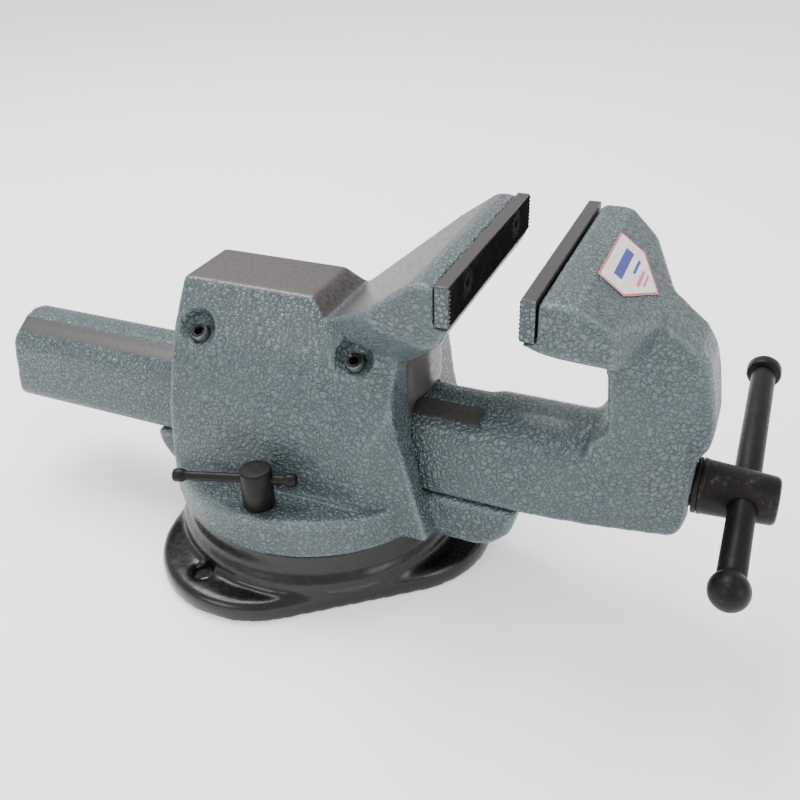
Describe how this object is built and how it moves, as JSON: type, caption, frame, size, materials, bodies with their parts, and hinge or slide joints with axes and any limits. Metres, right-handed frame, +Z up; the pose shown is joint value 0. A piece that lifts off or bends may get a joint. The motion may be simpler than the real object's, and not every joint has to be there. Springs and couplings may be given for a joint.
{
  "type": "bench vise",
  "caption": "Engineer's bench vise with a swivel base: a sliding jaw on a boxed beam, drawn by a screw with a T-handle, with an anvil face and two swivel locks.",
  "frame": {"origin": "on the swivel axis, at the underside of the base, where it stands on the bench", "axes": "+X along the sliding beam towards the screw head and handle, +Y across the jaws, +Z up"},
  "size_m": [0.4503, 0.217, 0.197],
  "materials": {
    "casting_paint": "hammered enamel on cast iron",
    "base_enamel": "gloss black enamel on cast iron",
    "jaw_plate_steel": "hardened and ground, serrated gripping face",
    "black_steel": "black oxide, worn at edges",
    "ground_steel": "ground",
    "nut_bronze": "machined",
    "label_film": "printed label film"
  },
  "bodies": {
    "base": {"swivel_base": "base_enamel"},
    "body": {"body_casting": "casting_paint", "pivot_bolt": "black_steel", "pivot_washer": "ground_steel", "screw_nut": "nut_bronze", "nut_bolt_rear": "black_steel", "nut_bolt_front": "black_steel", "fixed_jaw_plate": "jaw_plate_steel", "fixed_plate_screw_near": "black_steel", "fixed_plate_screw_far": "black_steel", "guide_gib_near": "ground_steel", "guide_gib_far": "ground_steel", "gib_screw_near_rear": "black_steel", "gib_screw_near_front": "black_steel", "gib_screw_far_rear": "black_steel", "gib_screw_far_front": "black_steel", "t_nut_near": "black_steel", "t_nut_far": "black_steel"},
    "jaw": {"sliding_jaw": "casting_paint", "sliding_jaw_plate": "jaw_plate_steel", "sliding_plate_screw_near": "black_steel", "sliding_plate_screw_far": "black_steel", "jaw_label": "label_film"},
    "screw": {"main_screw": "black_steel", "thrust_washer": "black_steel", "thrust_collar": "black_steel", "collar_pin": "ground_steel"},
    "handle": {"handle_bar": "black_steel", "handle_ball": "black_steel", "handle_cap": "black_steel"},
    "lock_near": {"lock_screw_near": "black_steel"},
    "lock_bar_near": {"lock_bar_near": "black_steel", "lock_bar_knob_near_a": "black_steel", "lock_bar_knob_near_b": "black_steel"},
    "lock_far": {"lock_screw_far": "black_steel"},
    "lock_bar_far": {"lock_bar_far": "black_steel", "lock_bar_knob_far_a": "black_steel", "lock_bar_knob_far_b": "black_steel"}
  },
  "joints": [
    {"name": "swivel", "type": "hinge", "parent": "base", "child": "body", "pos_m": [0, 0, 0], "axis": [0, 0, 1], "continuous": true},
    {"name": "jaw_slide", "type": "slide", "parent": "body", "child": "jaw", "axis": [1, 0, 0], "range_m": [-0.02925, 0.1001]},
    {"name": "screw_turn", "type": "hinge", "parent": "jaw", "child": "screw", "pos_m": [0.2, 0, 0.0807], "axis": [1, 0, 0], "range_deg": [-1756, 6007]},
    {"name": "handle_slide", "type": "slide", "parent": "screw", "child": "handle", "axis": [0, 0.9976, 0.0698], "range_m": [-0.092, 0.04]},
    {"name": "lock_turn_near", "type": "hinge", "parent": "body", "child": "lock_near", "pos_m": [0, -0.068, 0.058], "axis": [0, 0, 1], "range_deg": [-30, 14]},
    {"name": "lock_bar_slide_near", "type": "slide", "parent": "lock_near", "child": "lock_bar_near", "axis": [-0.9563, -0.2924, 0], "range_m": [-0.015, 0.0058]},
    {"name": "lock_turn_far", "type": "hinge", "parent": "body", "child": "lock_far", "pos_m": [0, 0.068, 0.058], "axis": [0, 0, -1], "range_deg": [-30, 14]},
    {"name": "lock_bar_slide_far", "type": "slide", "parent": "lock_far", "child": "lock_bar_far", "axis": [-0.9563, 0.2924, 0], "range_m": [-0.015, 0.0058]}
  ],
  "couplings": [
    {"joint": "screw_turn", "follows": "jaw_slide", "rad_per_m": 1047.2}
  ]
}
